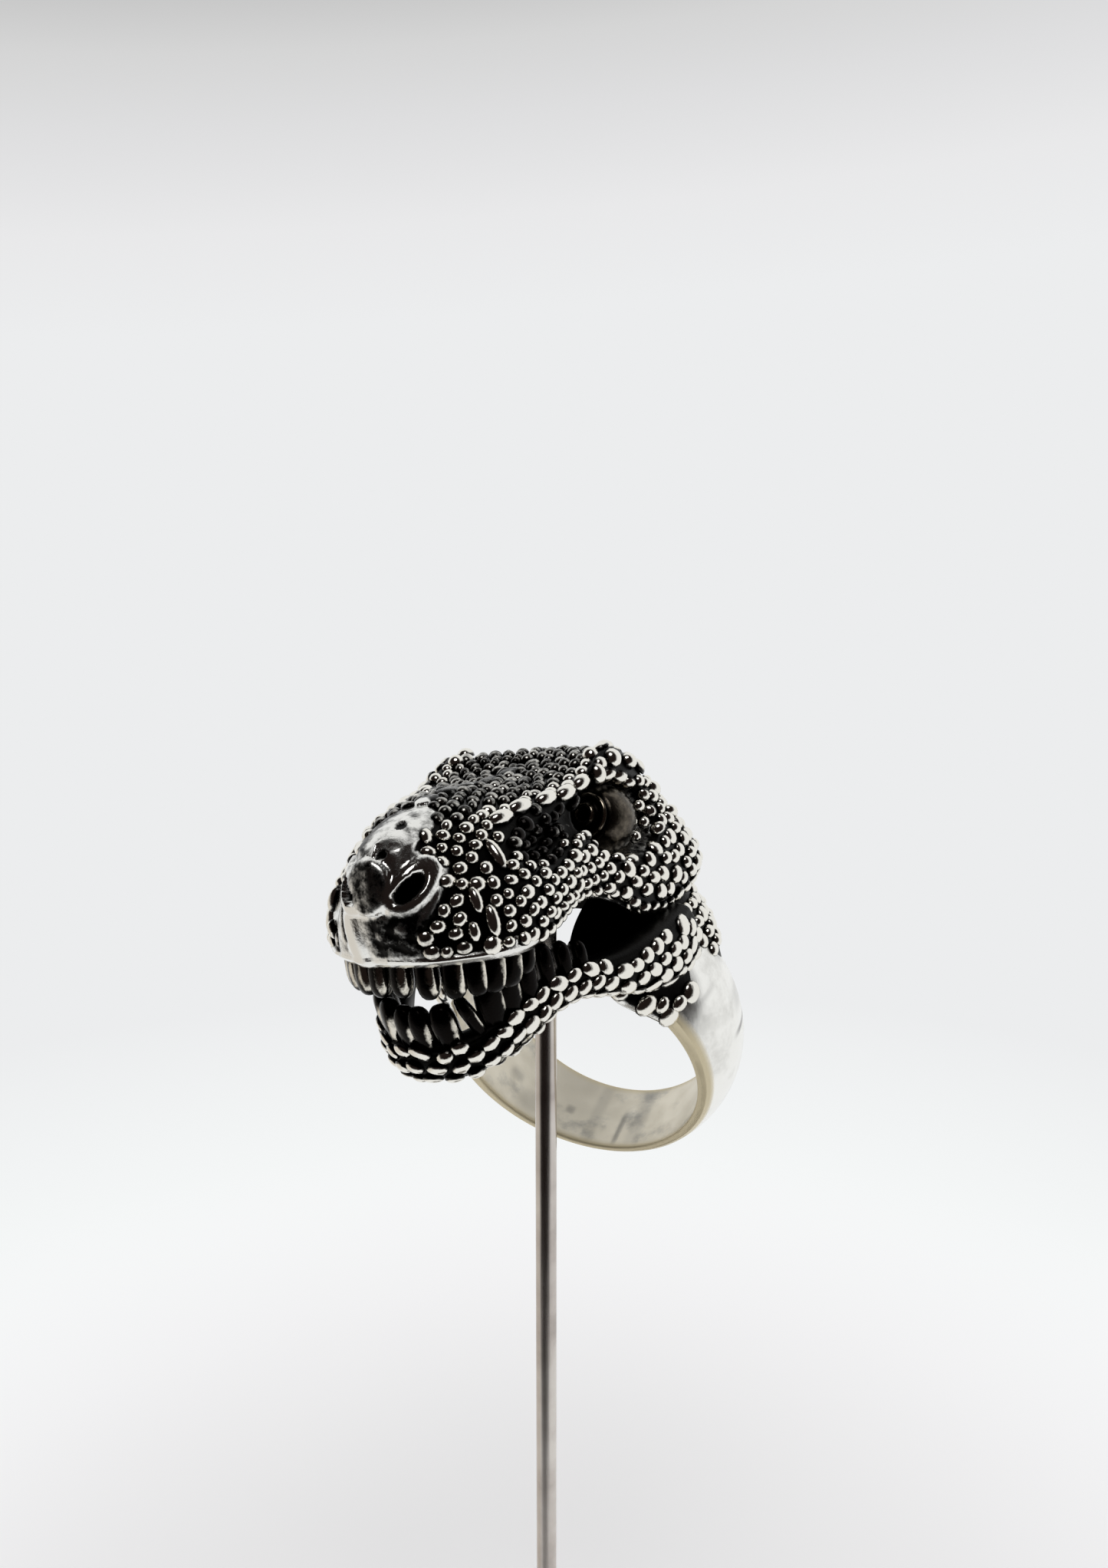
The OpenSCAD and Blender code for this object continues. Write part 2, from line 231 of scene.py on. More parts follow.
def bent_grid(name, points, **attributes):
    """A flat grid bent so that its corners take the points, given line by line in the ring frame"""
    lines, across = points.shape[:2]
    bpy.ops.object.select_all(action="DESELECT")
    bpy.ops.mesh.primitive_grid_add(x_subdivisions=across - 1, y_subdivisions=lines - 1, size=1)
    piece = bpy.context.object
    piece.name = piece.data.name = name
    flat = np.empty(3 * lines * across)
    piece.data.vertices.foreach_get("co", flat)
    column = np.rint((flat[0::3] + 0.5) * (across - 1)).astype(int)
    line = np.rint((flat[1::3] + 0.5) * (lines - 1)).astype(int)
    piece.data.vertices.foreach_set("co", points[line, column].ravel())
    for label, values in attributes.items():
        piece.data.attributes.new(label, "FLOAT", "POINT").data.foreach_set(
            "value", values[line, column].astype(np.float32))
    bpy.ops.object.mode_set(mode="EDIT")
    bpy.ops.mesh.select_all(action="SELECT")
    bpy.ops.mesh.remove_doubles(threshold=0.002)
    bpy.ops.mesh.normals_make_consistent(inside=False)
    bpy.ops.object.mode_set(mode="OBJECT")
    bpy.ops.object.shade_smooth()
    piece.data.transform(ring_frame)
    return piece


def smooth_step(low, high, x):
    t = np.clip((x - low) / (high - low), 0, 1)
    return t * t * (3 - 2 * t)


def hoop_outside(angle, y):
    """Distance from the finger's axis to the outside of the band, at an angle above the hole's level"""
    back_r = FINGER_R + BAND_BACK_T
    side_r = FINGER_R + BAND_SIDE_T
    top_r = side_r ** 2 / back_r
    hoop_r = (top_r + back_r) / 2
    hoop_z = (top_r - back_r) / 2
    sag = hoop_r - math.hypot(FINGER_R + BAND_EDGE_T, hoop_z)
    dome_r = (sag ** 2 + BAND_W ** 2 / 4) / (2 * sag)
    here_r = hoop_r - dome_r + np.sqrt(np.maximum(dome_r ** 2 - y ** 2, 1))
    return hoop_z * np.sin(angle) + np.sqrt(here_r ** 2 - (hoop_z * np.cos(angle)) ** 2)


# Round the section: along the inside, over the back rim, along the outside, over the front rim
inside_part = np.linspace(-1, 1, 25)
outside_part = np.linspace(1, -1, 41)
corner = np.linspace(0, math.pi / 2, 5)[1:-1]
angle = np.radians(np.linspace(*BAND_ENDS, 320))[:, None]
half = BAND_W / 2 + BAND_MIDDLE_R * np.sin(angle) * math.tan(math.radians(BAND_SPREAD / 2))
rim_r = hoop_outside(angle, half)
flat_half = half - RIM_ROUND
bore_r = FINGER_R + 0 * half
rim_face = rim_r - bore_r - 2 * RIM_ROUND
section = [(bore_r, flat_half * t) for t in inside_part]
section += [(bore_r + RIM_ROUND * (1 - np.cos(c)), flat_half + RIM_ROUND * np.sin(c)) for c in corner]
section += [(bore_r + RIM_ROUND + rim_face * t, half) for t in (0, 0.5, 1)]
section += [(rim_r - RIM_ROUND * (1 - np.sin(c)), flat_half + RIM_ROUND * np.cos(c)) for c in corner]
section += [(hoop_outside(angle, flat_half * t), flat_half * t) for t in outside_part]
section += [(rim_r - RIM_ROUND * (1 - np.cos(c)), -flat_half - RIM_ROUND * np.sin(c)) for c in corner]
section += [(rim_r - RIM_ROUND - rim_face * t, -half) for t in (0, 0.5, 1)]
section += [(bore_r + RIM_ROUND * (1 - np.sin(c)), -flat_half - RIM_ROUND * np.cos(c)) for c in corner]
section.append(section[0])
radius = np.concatenate([r for r, y in section], 1)
across = np.concatenate([y for r, y in section], 1)
points = np.stack([radius * np.cos(angle), across, radius * np.sin(angle)], -1)
on_rim = smooth_step(0.55, 0.25, np.abs(half - np.abs(across)))
inner = smooth_step(FINGER_R + 0.5, FINGER_R + 0.1, radius)

# Darker grey marks: smudges inside the band, and painted reflections on its outside. Columns:
# 1 inside and 0 outside, middle angle and y, half size in degrees and in mm, depth of colour
SMUDGES_AND_PAINTED_REFLECTIONS = [
    (1, -89, -1.4, 1.3, 1.9, 0.6), (1, -80, 0.5, 4.0, 4.0, 0.28), (1, -103, 0.0, 3.0, 4.0, 0.2),
    (1, -116, -0.6, 2.2, 0.4, 0.5), (1, -100, -4.0, 32, 0.8, 0.55), (1, -147, -0.5, 4.0, 0.5, 0.35),
    (1, -136, -2.0, 6.0, 1.0, 0.25), (0, 30, 3.4, 5.5, 1.6, 0.65), (0, 1.5, 1.2, 1.0, 1.7, 0.95),
    (0, 11, 2.4, 4.0, 2.0, 0.3), (0, 24, -1.8, 1.0, 1.0, 0.25)]
stain = np.zeros_like(across)
for inside_only, at_angle, at_y, half_angle, half_y, depth in SMUDGES_AND_PAINTED_REFLECTIONS:
    spread = ((np.degrees(angle) - at_angle) / half_angle) ** 4 + ((across - at_y) / half_y) ** 4
    stain = np.maximum(stain, depth * np.exp(-spread) * np.where(inside_only, inner, 1 - inner))
band = bent_grid("band", points, rim=on_rim, inner=inner, stain=stain)


def new_metal(name):
    """A new material, its nodes, its shader, and the place on the piece in mm"""
    look = bpy.data.materials.new(name)
    look.use_nodes = True
    tree = look.node_tree
    place = add_node(tree, "TexCoord").outputs["Object"]
    in_mm = add_node(tree, "VectorMath", {0: place, 1: (1000, 1000, 1000)}, operation="MULTIPLY")
    return look, tree, tree.nodes["Principled BSDF"], in_mm.outputs[0]


def noise(tree, where, scale, detail, roughness=0.5):
    return add_node(tree, "TexNoise", {
        "Vector": where, "Scale": scale, "Detail": detail, "Roughness": roughness}).outputs["Fac"]


def add_bump(tree, height, strength, metres, **under):
    """Relief on the surface, or on the normal of another relief"""
    return add_node(tree, "Bump", {
        "Height": height, "Strength": strength, "Distance": metres, **under}).outputs["Normal"]


# Sterling silver, polished: nearly white, with soft long reflections, hairline scratches from
# the cloth, faint grey clouds of tarnish, and a creamy painted reflection inside the hole
polished, tree, shader, in_mm = new_metal("sterling_silver_polished")
in_hole, at_rim, smudged_and_reflected = (
    add_node(tree, "Attribute", attribute_name=name).outputs["Fac"] for name in ("inner", "rim", "stain"))
tarnish = remap(tree, noise(tree, in_mm, 0.22, 5, 0.62), 0.52, 0.72, curve="SMOOTHSTEP")
spots = reckon(tree, "MULTIPLY", tarnish, remap(tree, in_hole, to_low=0.35, to_high=0.9))
# Inside the hole the colour turns cream: a painted reflection of the pale surround
silver_with_painted_cream = mix_colours(tree, in_hole, "#F8F7F3", "#DFD8C8")
grey = mix_colours(tree, spots, silver_with_painted_cream, "#A7A59F")
# Darker grey at the smudges inside and at the painted reflections outside
marked = mix_colours(tree, smudged_and_reflected, grey, "#6E6D6C")
gloss = remap(tree, noise(tree, in_mm, 0.6, 3), 0.3, 0.7, 0.12, 0.26)
combed = add_node(tree, "Mapping", {"Vector": in_mm, "Rotation": (0.5, 0.2, 0.8), "Scale": (0.5, 9, 0.5)})
hairs = noise(tree, combed.outputs[0], 1.4, 6, 0.7)
dents = add_bump(tree, noise(tree, in_mm, 0.35, 1), 0.12, 0.0004)
set_inputs(tree, shader, {
    "Base Color": mix_colours(tree, at_rim, marked, "#DCCFAE"),
    "Roughness": reckon(tree, "MULTIPLY_ADD", in_hole, 0.24, gloss),
    "Metallic": remap(tree, at_rim, to_low=1.0, to_high=0.3),
    "Normal": add_bump(tree, hairs, 0.12, 0.00004, Normal=dents)})
band.data.materials.append(polished)
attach(band, "root")
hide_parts("ring")


# The upper head: the casting's crown, muzzle and cheeks in one shell with the hollow of the
# mouth inside. It is oxidised black all over, and then its high places are polished bright.
# Each row is a slice from the lip up the flank to the brow and in to the spine.
# Columns: lip x, y, z, flank x, y, z, brow x, y, z, spine y, z (head frame)
HEAD_ROWS = np.array([
    [0.0, -26.1, 13.0, 0.0, -26.9, 16.5, 0.0, -26.5, 20.0, -25.6, 20.9],
    [2.4, -25.8, 13.0, 2.3, -26.5, 16.4, 1.4, -25.7, 20.4, -24.2, 21.4],
    [4.4, -25.0, 13.0, 4.1, -25.1, 16.3, 2.3, -23.9, 20.7, -22.4, 21.8],
    [6.0, -23.5, 12.9, 5.8, -23.4, 16.3, 3.1, -22.1, 20.9, -20.8, 22.1],
    [7.0, -21.5, 12.75, 7.0, -21.4, 16.4, 3.8, -20.4, 21.0, -19.1, 22.3],
    [7.4, -19.0, 12.95, 7.6, -18.9, 16.6, 4.4, -18.3, 21.0, -17.2, 22.4],
    [7.2, -16.6, 13.3, 7.8, -16.2, 16.8, 5.1, -16.1, 21.1, -15.0, 22.3],
    [7.1, -14.3, 13.9, 8.0, -13.5, 16.9, 5.7, -13.4, 21.2, -12.4, 22.1],
    [7.6, -12.0, 13.7, 8.3, -11.0, 16.5, 6.1, -10.7, 21.5, -9.8, 22.1],
    [8.3, -9.6, 12.6, 8.8, -8.3, 16.0, 6.4, -7.9, 22.3, -7.0, 22.3],
    [8.7, -7.0, 11.1, 9.2, -5.8, 15.5, 6.5, -5.2, 23.1, -4.3, 22.8],
    [8.9, -4.0, 10.5, 9.5, -3.2, 15.0, 6.9, -2.8, 22.1, -1.8, 22.9],
    [9.1, -1.2, 10.8, 9.7, -0.8, 14.6, 7.5, -0.9, 19.9, -0.2, 22.1],
    [9.2, 1.7, 11.3, 9.7, 1.5, 14.2, 7.9, 1.0, 17.8, 0.9, 21.0],
    [8.6, 3.8, 11.7, 9.0, 3.8, 13.8, 7.6, 2.8, 16.4, 1.8, 19.6],
    [6.8, 4.8, 12.2, 7.0, 5.0, 13.8, 6.0, 3.9, 15.8, 2.5, 18.2],
    [3.9, 4.6, 12.8, 4.0, 4.9, 14.0, 3.4, 4.0, 15.6, 2.9, 17.0],
    [0.0, 4.0, 13.0, 0.0, 4.3, 14.2, 0.0, 3.6, 15.5, 3.1, 16.2],
])
LAST_ROW = len(HEAD_ROWS) - 1


def row_at(rows, u):
    """The rows joined by a smooth curve, read at any place between two of them"""
    i = np.clip(np.floor(u), 0, len(rows) - 2).astype(int)
    t = (u - i)[..., None]
    a, b, c, d = (rows[np.clip(i + k, 0, len(rows) - 1)] for k in (-1, 0, 1, 2))
    return (b + (c - a) * t / 2 + (2 * a - 5 * b + 4 * c - d) * t ** 2 / 2
            + (3 * b - a - 3 * c + d) * t ** 3 / 2)


def head_point(u, v):
    """A point of the upper head: u is the row, v is 0 at the lip, 1 at the brow and 2 at the spine"""
    r = row_at(HEAD_ROWS, u)
    v = v[..., None]
    w = v - 1
    flank = (r[..., 0:3] * (1 - v) * (1 - 2 * v) + r[..., 3:6] * 4 * v * (1 - v)
             + r[..., 6:9] * v * (2 * v - 1))
    crown = np.concatenate([
        r[..., 6:7] * (1 - w), r[..., 7:8] + (r[..., 9:10] - r[..., 7:8]) * w,
        r[..., 8:9] + (r[..., 10:11] - r[..., 8:9]) * w * (2 - w)], -1)
    return np.where(v <= 1, flank, crown)


def unit(v):
    return v / np.maximum(np.linalg.norm(v, axis=-1, keepdims=True), 1e-9)


def head_out(u, v):
    step = 0.05
    return unit(np.cross(head_point(u + step, v) - head_point(u - step, v),
                         head_point(u, v + step / 3) - head_point(u, v - step / 3)))


def to_ring(points):
    """From the head frame to the ring frame"""
    c, s = math.cos(math.radians(GAPE)), math.sin(math.radians(GAPE))
    x, y, z = np.moveaxis(points, -1, 0)
    return np.stack([x, c * y + s * z, c * z - s * y], -1)


def oval(a, b, middle, half_size, turn=0):
    """How far a point is from the middle of an oval, where 1 is its edge"""
    c, s = math.cos(math.radians(turn)), math.sin(math.radians(turn))
    a, b = a - middle[0], b - middle[1]
    return np.hypot((a * c + b * s) / half_size[0], (b * c - a * s) / half_size[1])


def dome(distance, power=2):
    return np.sqrt(np.clip(1 - distance ** power, 0, None))


def from_path(a, b, path):
    """Distance from a line of points"""
    best = np.full(np.shape(a), 1e3)
    for (a0, b0), (a1, b1) in zip(path, path[1:]):
        t = np.clip(((a - a0) * (a1 - a0) + (b - b0) * (b1 - b0)) / ((a1 - a0) ** 2 + (b1 - b0) ** 2), 0, 1)
        best = np.minimum(best, np.hypot(a - a0 - t * (a1 - a0), b - b0 - t * (b1 - b0)))
    return best


# The hollows in each flank: the eye socket, the one before it, and the groove that joins them.
# Columns: middle x, y, z, half size x, y, z, tilt down to the back (head frame)
HOLLOWS = [(9.0, -7.6, 18.7, 4.4, 5.0, 3.3, 10), (8.2, -17.0, 19.1, 2.7, 4.4, 1.9, -6),
           (8.2, -12.6, 19.5, 2.5, 3.4, 1.6, -4)]

# Where the smooth snout ends and the scales begin: v, and u there
SNOUT_EDGE = np.array([
    (0.0, 1.3), (0.29, 1.1), (0.45, 1.5), (0.59, 1.85), (0.7, 2.15), (0.8, 2.4), (0.89, 2.1), (0.96, 1.6),
    (1.02, 1.9), (1.2, 2.6), (1.5, 3.2), (2.0, 3.7)])

# The smooth plates along the spine: place y and half size x, y (head frame)
SPINE_PLATES = [
    (-19.5, 0.85, 1.2), (-17.0, 0.8, 1.15), (-14.3, 0.75, 1.2), (-11.5, 0.7, 1.2), (-8.4, 0.75, 1.3)]

COLUMNS = 250
HEAD_LINES = 100
one_side = np.linspace(0, LAST_ROW, COLUMNS + 1)
u_line = np.concatenate([one_side, one_side[-2::-1]])
sign_line = np.concatenate([np.ones(COLUMNS + 1), -np.ones(COLUMNS)])
v_line = np.linspace(0, 2, HEAD_LINES + 1)
U, V = np.meshgrid(u_line, v_line)
SIDE = np.broadcast_to(sign_line, U.shape)
base = head_point(U, V)
out = head_out(U, V)
middle_line = (U < 1e-6) | (U > LAST_ROW - 1e-6)
out[middle_line, 0] = 0
out = unit(out)
step_along = np.linalg.norm(np.diff(base[:, :COLUMNS + 1], axis=1), axis=-1)
arc = np.concatenate([np.zeros((len(v_line), 1)), np.cumsum(step_along, 1)], 1)
S = SIDE * np.concatenate([arc, arc[:, -2::-1]], 1)
X, Y, Z = base[..., 0] * SIDE, base[..., 1], base[..., 2]
ABOVE_LIP = Z - head_point(U, 0 * V)[..., 2]

snout_end = np.interp(V, SNOUT_EDGE[:, 0], SNOUT_EDGE[:, 1]) + 1.3 * (SIDE < 0) * smooth_step(0.8, 0.6, V)
bare_lip = 0.8 - 0.6 * smooth_step(4.2, 4.9, U)
scaly = smooth_step(-0.15, 0.1, U - snout_end) * smooth_step(-0.25, 0.0, ABOVE_LIP - bare_lip)
plates = np.max([dome(oval(X, Y, (0, y), (a, b)), 4) for y, a, b in SPINE_PLATES], 0) * (V > 1.3)
brow_peak = 0.35 * np.exp(-((V - 1) / 0.14) ** 2) * np.exp(-((U - 9.8) / 1.6) ** 2)
lift = -0.2 * scaly * (1 - plates) + 0.28 * plates + brow_peak
rub = 0.55 * (1 - scaly)

# The nose: a round bulb in the middle and a mound round each nostril, the near one painted bright on top as a
# highlight
from_bulb = oval(S, Z, (-0.4, 18.3), (1.75, 1.8))
bulb = dome(from_bulb, 6)
mounds = np.max([dome(oval(S, Z, (2.6 * k, 18.15), (2.35, 1.25), 36 * k), 6) for k in (1, -1)], 0)
slots = np.max([dome(oval(S, Z, (2.35 * k, 18.05), (1.25, 0.56), 36 * k)) for k in (1, -1)], 0)
nose = np.maximum(0.5 * bulb, 0.32 * mounds) * (V < 1.25)
lift = lift + nose - 1.9 * slots
in_slot = smooth_step(0.15, 0.5, slots)
rub = rub * (1 - in_slot) - 0.3 * in_slot + 0.1 * mounds * (1 - in_slot)
# The bulb's outline is made brighter only on its lower part: a painted highlight along its lower edge
bulb_edge = smooth_step(0.22, 0.06, np.abs(from_bulb - 1.0))
rub = rub - 0.24 * bulb * (1 - bulb_edge) + 0.25 * bulb_edge * smooth_step(19.4, 18.6, Z)
# Only the near mound's top is made brighter: a painted highlight
near_mound_painted_highlight = smooth_step(18.5, 19.1, Z + 0.4 * (S - 2.8))
rub = rub + 0.45 * mounds * (S > 0) * near_mound_painted_highlight * (1 - in_slot) * (1 - bulb)

# The front of the lip: a bright fold down the far side, cut by a groove, and a loop beside it
fold = smooth_step(1.1, 0.2, np.abs(S + 2.1 + 0.12 * (Z - 13))) * smooth_step(17.2, 16.2, Z)
groove = smooth_step(0.34, 0.0, from_path(S, Z, [(-4.4, 17.6), (-3.7, 16.4), (-3.15, 14.8)]))
loop = smooth_step(0.3, 0.0, np.abs(oval(S, Z, (-5.2, 14.4), (0.42, 0.8), 8) - 1) * 0.5)
wrinkles = np.sin(3.4 * S + 2.1 * Z + 1.6 * np.sin(1.7 * Z)) * np.sin(1.3 * S - 2.9 * Z + 0.8)
wrinkled = smooth_step(-1.2, -0.4, S) * smooth_step(17.0, 16.2, Z)
wrinkled = wrinkled * smooth_step(0.6, 1.0, ABOVE_LIP) * (1 - scaly)
lift = lift + 0.15 * fold - 0.38 * groove - 0.2 * loop + 0.05 * wrinkles * wrinkled
rub = rub + 0.3 * fold - 0.7 * groove - 0.6 * loop - 0.34 * wrinkled + 0.14 * wrinkles * wrinkled

# The bridge: smooth and brightest along its middle, with two dimples
dimples = np.maximum(dome(oval(X, Y, (0.5, -23.7), (0.42, 0.62), 20)) * (V > 1.2),
                     dome(oval(S, Z, (0.6, 20.2), (0.42, 0.26))))
lift = lift - 0.28 * dimples
crest = 0.3 * smooth_step(1.9, 0.7, np.abs(X - 0.5)) - 0.27 + 0.15 * wrinkles
rub = rub + crest * smooth_step(0.8, 1.1, V) * (1 - scaly) - 0.5 * dimples + 0.3 * plates

# The lip's plain rim, broader at the corner of the muzzle
rim_height = 0.62 + 0.75 * np.exp(-((U - 3.7) / 0.45) ** 2)
rim = smooth_step(rim_height, rim_height - 0.18, ABOVE_LIP) * (V < 0.5) * smooth_step(4.9, 4.3, U)
lift = lift + 0.2 * rim
rub = rub * (1 - rim) + 0.95 * rim

shaped = base + out * lift[..., None]
shaped[..., 0] *= SIDE

# The eye sockets and the hollows before them are pressed in sideways, and slope in under the brow
pressed = np.zeros_like(V)
for hx, hy, hz, ax, ay, az, tilt in HOLLOWS:
    c, s = math.cos(math.radians(-tilt)), math.sin(math.radians(-tilt))
    dy, dz = shaped[..., 1] - hy, shaped[..., 2] - hz
    dy, dz = dy * c + dz * s, dz * c - dy * s
    room = np.clip(1 - (dy / ay) ** 2 - (dz / az) ** 2, 0, None)
    floor_x = hx - ax * np.sqrt(room)
    share = smooth_step(1.03, 0.93, V) * (room > 0)
    depth = np.clip(np.abs(shaped[..., 0]) - floor_x, 0, None) * share
    shaped[..., 0] -= SIDE * depth
    pressed = np.maximum(pressed, smooth_step(0.2, 0.8, depth))
socket_floor = smooth_step(17.6, 16.6, Z) * smooth_step(-13, -11, Y)
socket_back = smooth_step(-9.5, -7.0, Y)
rub = rub * (1 - pressed) + (0.1 + 0.14 * socket_floor + 0.24 * socket_back) * pressed

# The lip is filed off slanting, and the shell turns in to the hollow of the mouth
LIP_SLANT = 0.62
under = np.clip(LIP_SLANT - ABOVE_LIP, 0, LIP_SLANT) * (V < 0.3)
inward = 0.85 * under ** 2 / (under + 0.08)
shaped -= inward[..., None] * out * np.stack([SIDE, SIDE ** 2, 0 * SIDE], -1)

MOUTH_SCALE = np.array([0.8, 0.86, 0.5])
MOUTH_MIDDLE = np.array([0.0, -12.0, 13.0])
MOUTH_Z = 11
MOUTH_LINES = 22
lip = shaped[0]
lip_z = head_point(u_line, 0 * u_line)[..., 2]
start_z = (lip_z + 0.25 - MOUTH_Z) / MOUTH_SCALE[2] + MOUTH_MIDDLE[2]
flank_v = v_line[:HEAD_LINES // 2 + 1]
start_v = np.array([np.interp(z, Z[:len(flank_v), k], flank_v) for k, z in enumerate(start_z)])
cavity_lines = []
for t in np.linspace(0, 1, MOUTH_LINES):
    p = head_point(u_line, start_v + (2 - start_v) * t)
    p = (p - MOUTH_MIDDLE) * MOUTH_SCALE + MOUTH_MIDDLE + [0, 0, MOUTH_Z - MOUTH_MIDDLE[2]]
    p[:, 0] *= sign_line
    cavity_lines.append(p)
cavity = np.array(cavity_lines)
underside = np.array([lip + (cavity[0] - lip) * t for t in (0.3, 0.65)])
inside = np.concatenate([underside, cavity])[::-1]
all_points = to_ring(np.concatenate([inside, shaped]))
all_rub_and_highlight = np.concatenate([np.full(inside.shape[:2], -0.1), np.clip(rub, -0.3, 1)])
upper_head = bent_grid("upper_head", all_points, rub=all_rub_and_highlight)
head_skin = to_ring(shaped)


def oxidised(name, silver, oxide, oxide_gloss=0.4, patchy=0.22):
    """Cast sterling silver, blackened with liver of sulphur and rubbed bright on its high places.
    Its polish attribute says how much of the black is gone, and in a few places it also holds painted
    highlights."""
    look, tree, shader, in_mm = new_metal(name)
    rubbed_and_highlighted = add_node(tree, "Attribute", attribute_name="rub").outputs["Fac"]
    uneven = remap(tree, noise(tree, in_mm, 1.7, 6, 0.65), 0.3, 0.7, -patchy, patchy)
    bright = remap(tree, reckon(tree, "ADD", rubbed_and_highlighted, uneven), 0.2, 0.7, curve="SMOOTHSTEP")
    set_inputs(tree, shader, {
        "Base Color": mix_colours(tree, bright, oxide, silver),
        "Metallic": 1,
        "Roughness": remap(tree, bright, to_low=oxide_gloss, to_high=0.12),
        "Normal": add_bump(tree, noise(tree, in_mm, 5.0, 4), 0.25, 0.00006)})
    return look


black_silver = oxidised("sterling_silver_oxidised", "#EDECE8", "#0B0A09")
upper_head.data.materials.append(black_silver)
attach(upper_head, "root")
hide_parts("ring")


# The lower jaw: a rounded bar bent to a U, cast in one with the shoulders at its two ends.
# Columns: x, y, bottom, top, thickness (ring frame)
JAW_ROWS = np.array([
    [0.0, -19.5, 12.4, 15.2, 2.2],
    [1.6, -19.2, 12.4, 15.2, 2.2],
    [2.8, -18.4, 12.4, 15.2, 2.2],
    [3.7, -17.4, 12.4, 15.3, 2.1],
    [4.4, -16.2, 12.5, 15.3, 2.0],
    [5.1, -14.8, 12.7, 15.3, 2.0],
    [5.9, -13.0, 13.0, 15.2, 2.0],
    [6.8, -11.2, 12.6, 14.9, 2.1],
    [7.6, -9.3, 11.4, 14.2, 2.3],
    [8.4, -7.1, 9.8, 13.3, 2.6],
    [9.0, -4.6, 8.2, 12.6, 3.0],
    [9.4, -1.8, 7.2, 11.9, 3.2],
    [9.4, 1.2, 6.6, 11.3, 3.2],
])


def jaw_at(u):
    """The jaw's row at u, which is below zero on the far side"""
    row = row_at(JAW_ROWS, np.abs(u))
    row[..., 0] *= np.where(u < 0, -1, 1)
    return row


def close_ends(name, points, ends, rub):
    """A bent grid whose lines run together in a point at both ends"""
    blank = 0 * points[:1]
    closed = np.concatenate([blank + ends[0], points, blank + ends[1]])
    return bent_grid(name, closed, rub=np.concatenate([rub[:1], rub, rub[-1:]]))


SQUARENESS = 2.5
JU, JQ = np.meshgrid(np.linspace(-12, 12, 260), np.radians(np.linspace(-180, 180, 61)), indexing="ij")
row = jaw_at(JU)
step = jaw_at(JU + 0.2) - jaw_at(JU - 0.2)
outward = unit(np.stack([step[..., 1], -step[..., 0], 0 * step[..., 0]], -1))
square = (np.abs(np.cos(JQ)) ** SQUARENESS + np.abs(np.sin(JQ)) ** SQUARENESS) ** (-1 / SQUARENESS)
jaw_low = -1.3 - 0.6 * smooth_step(3.6, 2.4, np.abs(JU)) - 1.1 * smooth_step(8.4, 9.2, np.abs(JU))
jaw_scaly = smooth_step(0, 0.2, JQ - jaw_low) * smooth_step(0.85, 0.7, JQ)
thick = row[..., 4] / 2 - 0.15 * jaw_scaly
tall = (row[..., 3] - row[..., 2]) * 0.5
jaw_core = np.stack([row[..., 0], row[..., 1], (row[..., 2] + row[..., 3]) / 2], -1)
jaw_skin = jaw_core + (tall * square * np.sin(JQ))[..., None] * [0, 0, 1]
jaw_skin = jaw_skin + outward * (thick * square * np.cos(JQ))[..., None]
jaw_rub = 0.9 * smooth_step(0.12, -0.05, JQ - jaw_low) * smooth_step(-2.7, -2.3, JQ)
jaw_rub = jaw_rub * smooth_step(9.0, 8.4, np.abs(JU))
lower_jaw = close_ends("lower_jaw", jaw_skin, (jaw_core[0, 0], jaw_core[-1, 0]), jaw_rub)
lower_jaw.data.materials.append(black_silver)
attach(lower_jaw, "root")
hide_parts("ring")


# The shoulders: the casting thickens here from the band up to the nape, and makes one strap
# over the finger. The inside is polished as the band is, and the outside is black and scaly.
# Columns: angle above the finger's own level, outer radius, front y, back y (ring frame). These
# go up the near side, and the far side has them mirrored.
NEAR_ROWS = np.array([
    [21, 12.5, -4.2, 4.4],
    [28, 12.8, -4.8, 5.6],
    [36, 13.2, -5.6, 6.6],
    [44, 13.8, -6.4, 7.2],
    [50, 14.1, -6.6, 7.6],
    [56, 13.3, -6.0, 7.8],
    [66, 12.8, -5.0, 8.0],
    [78, 12.5, -4.6, 8.2],
    [90, 12.4, -4.6, 8.2],
])
SHOULDER_ROWS = np.concatenate([NEAR_ROWS, (NEAR_ROWS * [-1, 1, 1, 1] + [180, 0, 0, 0])[-2::-1]])
SCALE_BED = 0.2
STRAIGHT_HALF = 4.7
FLARE = 0.3
SHOULDER_EDGE_T = 0.7
SLOT_HALF = 2.7
SLOT_FRONT = -9.5
SLOT_BACK = 2.2
SLOT_TOP = 3.4

SU, ST = np.meshgrid(np.linspace(0, len(SHOULDER_ROWS) - 1, 240), np.linspace(-1, 1, 61), indexing="ij")
row = row_at(SHOULDER_ROWS, SU)
turn = np.radians(row[..., 0])
shoulder_y = row[..., 3] + (row[..., 2] - row[..., 3]) * (ST + 1) / 2
edge_r = FINGER_R + SHOULDER_EDGE_T + FLARE * np.clip(np.abs(shoulder_y) - STRAIGHT_HALF, 0, None)
shoulder_r = row[..., 1] - SCALE_BED + (edge_r - row[..., 1] + SCALE_BED) * ST ** 4
shoulder_skin = np.stack([shoulder_r * np.cos(turn), shoulder_y, shoulder_r * np.sin(turn)], -1)
hole = np.linspace(0, 1, 25)
hole_y = row[:, -1:, 2] + (row[:, :1, 3] - row[:, -1:, 2]) * hole
hole_r = FINGER_R + FLARE * np.clip(np.abs(hole_y) - STRAIGHT_HALF, 0, None)
hole_skin = np.stack([hole_r * np.cos(turn[:, :1]), hole_y, hole_r * np.sin(turn[:, :1])], -1)
quarters = np.array([0.25, 0.5, 0.75, 1])[:, None]
front_face = shoulder_skin[:, -1:] + (hole_skin[:, :1] - shoulder_skin[:, -1:]) * quarters[:3]
